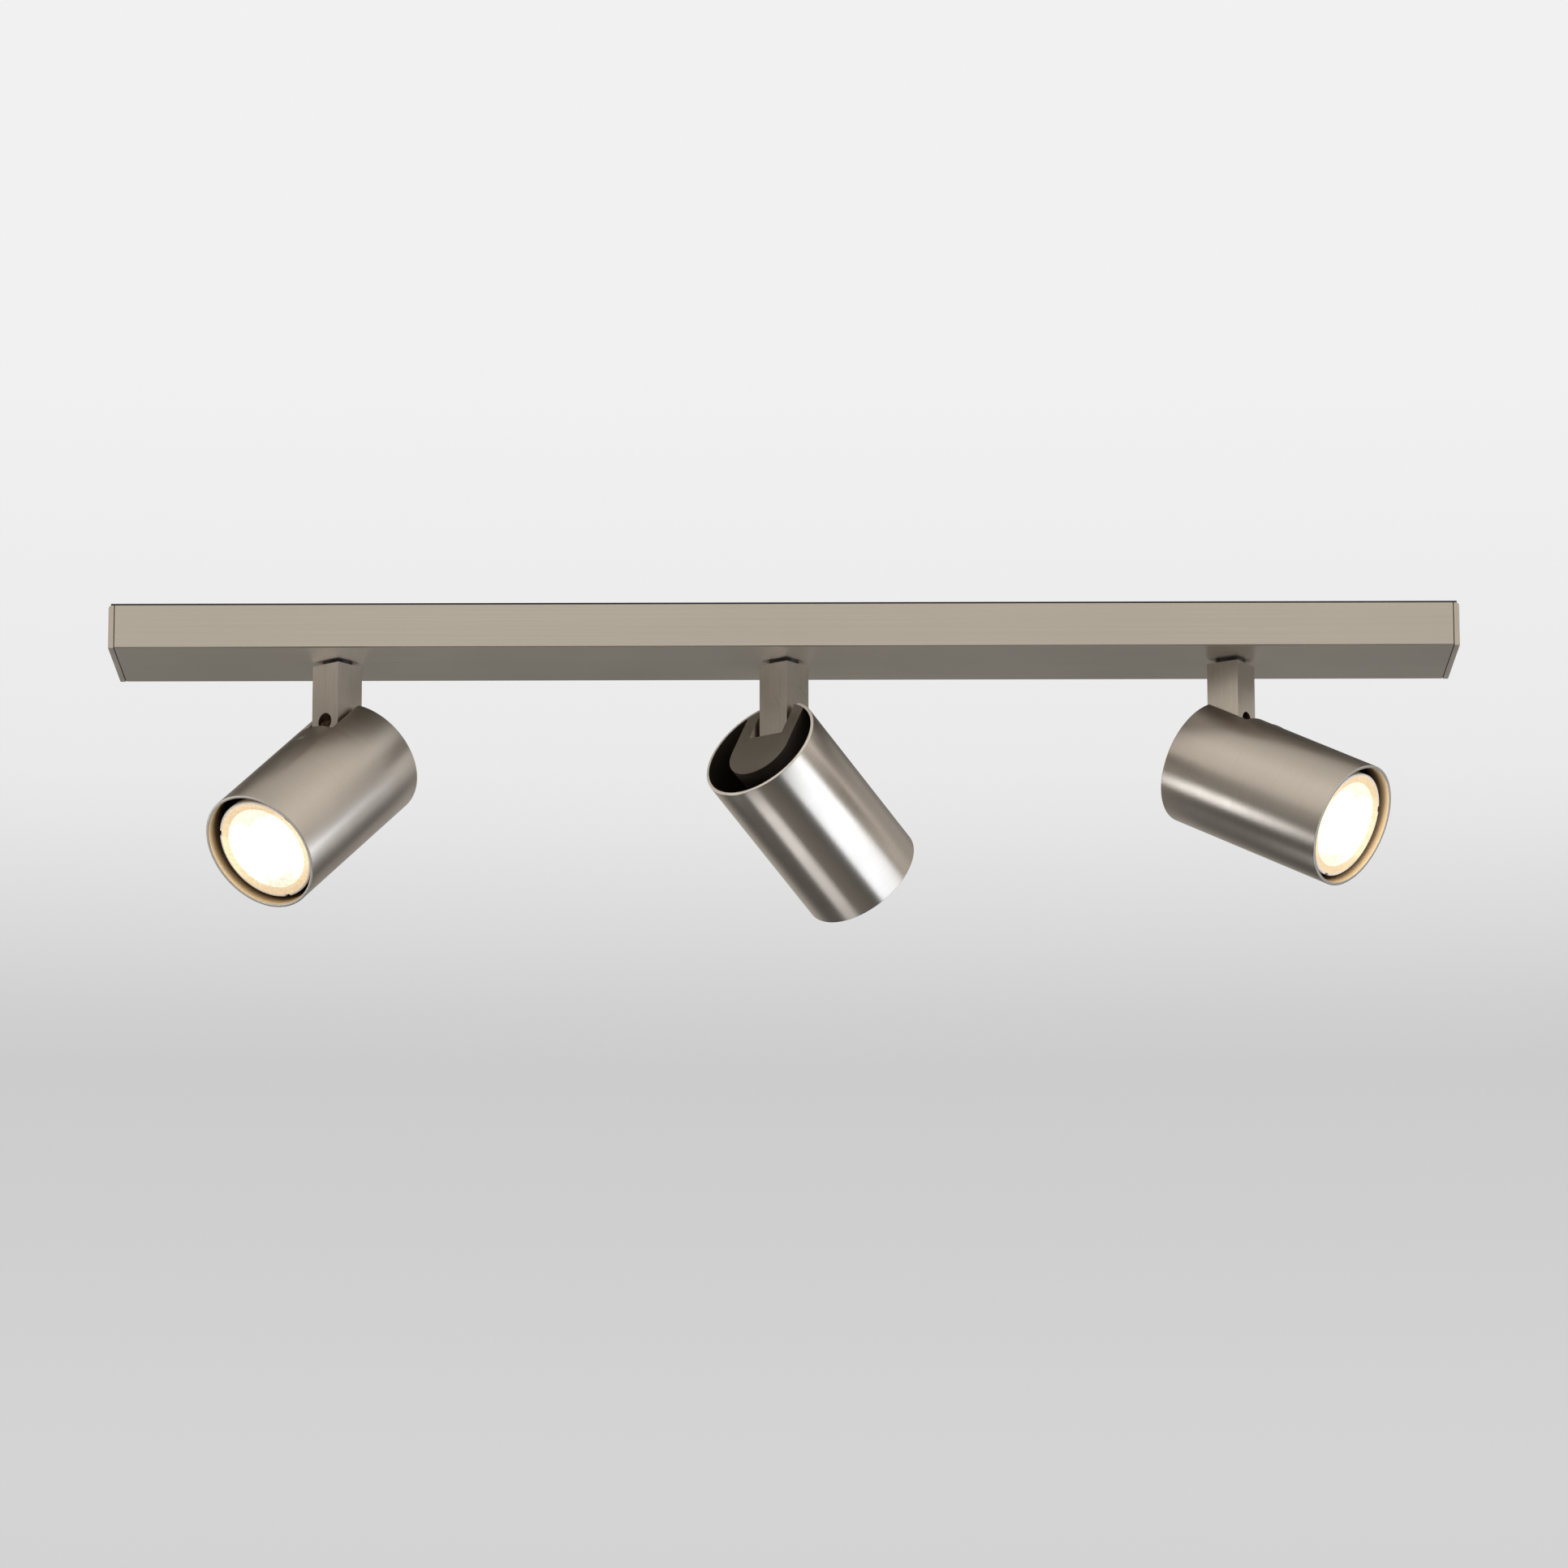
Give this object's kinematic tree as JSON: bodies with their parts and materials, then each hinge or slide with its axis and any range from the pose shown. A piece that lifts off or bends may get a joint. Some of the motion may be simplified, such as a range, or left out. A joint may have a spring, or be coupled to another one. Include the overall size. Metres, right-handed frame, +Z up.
{
  "type": "ceiling spotlight bar",
  "caption": "Shallow rectangular ceiling bar with round spotlight heads that turn on square posts and tilt on slotted hinges.",
  "frame": {"origin": "centre of the mounting face against the ceiling", "axes": "+X along the bar to the viewer's right, +Y away from the viewer, +Z up into the ceiling"},
  "size_m": [0.64, 0.132, 0.1454],
  "materials": {
    "brushed_nickel": "brushed champagne nickel plating over aluminium",
    "cast_nickel": "satin champagne nickel plating over a die casting",
    "steel_screws": "plated steel",
    "black_plate": "matt black powder coat on sheet steel",
    "brass_threads": "turned brass",
    "black_rubber": "moulded rubber",
    "black_plastic": "black glass-filled nylon",
    "white_plastic": "white terminal-block plastic",
    "ceramic": "glazed steatite",
    "lead_sleeve": "heat-resistant sleeve",
    "earth_sleeve": "green and yellow insulation",
    "lamp_shell": "heat-stable lamp shell",
    "lamp_glass": "frosted prismatic lens, lit"
  },
  "bodies": {
    "bar": {"bar_channel": "brushed_nickel", "end_cap_left": "brushed_nickel", "end_cap_right": "brushed_nickel", "end_cap_screws": "steel_screws", "mounting_plate": "black_plate", "channel_fixing_screws": "steel_screws", "entry_bush": "black_rubber", "terminal_block": "white_plastic", "terminal_screws": "brass_threads", "earth_screw": "brass_threads", "swivel_glide_washers": "black_plastic", "swivel_stop_plates": "steel_screws", "swivel_spring_washers": "steel_screws", "bar_leads": "lead_sleeve", "earth_lead": "earth_sleeve"},
    "post_left": {"post_left": "cast_nickel", "swivel_tube_left": "brass_threads", "swivel_nut_left": "brass_threads", "post_leads_left": "lead_sleeve"},
    "head_left": {"yoke_left": "cast_nickel", "head_tube_left": "brushed_nickel", "tube_screw_left": "steel_screws", "hinge_pin_left": "steel_screws", "friction_washers_left": "black_plastic", "lampholder_left": "ceramic", "lampholder_screws_left": "steel_screws", "head_leads_left": "lead_sleeve", "lamp_body_left": "lamp_shell", "lamp_pins_left": "brass_threads", "lamp_lens_left": "lamp_glass"},
    "post_middle": {"post_middle": "cast_nickel", "swivel_tube_middle": "brass_threads", "swivel_nut_middle": "brass_threads", "post_leads_middle": "lead_sleeve"},
    "head_middle": {"yoke_middle": "cast_nickel", "head_tube_middle": "brushed_nickel", "tube_screw_middle": "steel_screws", "hinge_pin_middle": "steel_screws", "friction_washers_middle": "black_plastic", "lampholder_middle": "ceramic", "lampholder_screws_middle": "steel_screws", "head_leads_middle": "lead_sleeve", "lamp_body_middle": "lamp_shell", "lamp_pins_middle": "brass_threads", "lamp_lens_middle": "lamp_glass"},
    "post_right": {"post_right": "cast_nickel", "swivel_tube_right": "brass_threads", "swivel_nut_right": "brass_threads", "post_leads_right": "lead_sleeve"},
    "head_right": {"yoke_right": "cast_nickel", "head_tube_right": "brushed_nickel", "tube_screw_right": "steel_screws", "hinge_pin_right": "steel_screws", "friction_washers_right": "black_plastic", "lampholder_right": "ceramic", "lampholder_screws_right": "steel_screws", "head_leads_right": "lead_sleeve", "lamp_body_right": "lamp_shell", "lamp_pins_right": "brass_threads", "lamp_lens_right": "lamp_glass"}
  },
  "joints": [
    {"name": "pan_left", "type": "hinge", "parent": "bar", "child": "post_left", "pos_m": [-0.2133, 0, -0.05847], "axis": [0, 0, 1], "range_deg": [-130.1, 209.9]},
    {"name": "tilt_left", "type": "hinge", "parent": "post_left", "child": "head_left", "pos_m": [-0.2133, 0, -0.05847], "axis": [-0.7672, 0.6414, 0], "range_deg": [-51, 39]},
    {"name": "pan_middle", "type": "hinge", "parent": "bar", "child": "post_middle", "pos_m": [0, 0, -0.05847], "axis": [0, 0, 1], "range_deg": [-311.3, 28.7]},
    {"name": "tilt_middle", "type": "hinge", "parent": "post_middle", "child": "head_middle", "pos_m": [0, 0, -0.05847], "axis": [0.7804, -0.6252, 0], "range_deg": [-57.6, 32.4]},
    {"name": "pan_right", "type": "hinge", "parent": "bar", "child": "post_right", "pos_m": [0.2133, 0, -0.05847], "axis": [0, 0, 1], "range_deg": [-227.7, 112.3]},
    {"name": "tilt_right", "type": "hinge", "parent": "post_right", "child": "head_right", "pos_m": [0.2133, 0, -0.05847], "axis": [-0.5344, -0.8453, 0], "range_deg": [-63.4, 26.6]}
  ]
}
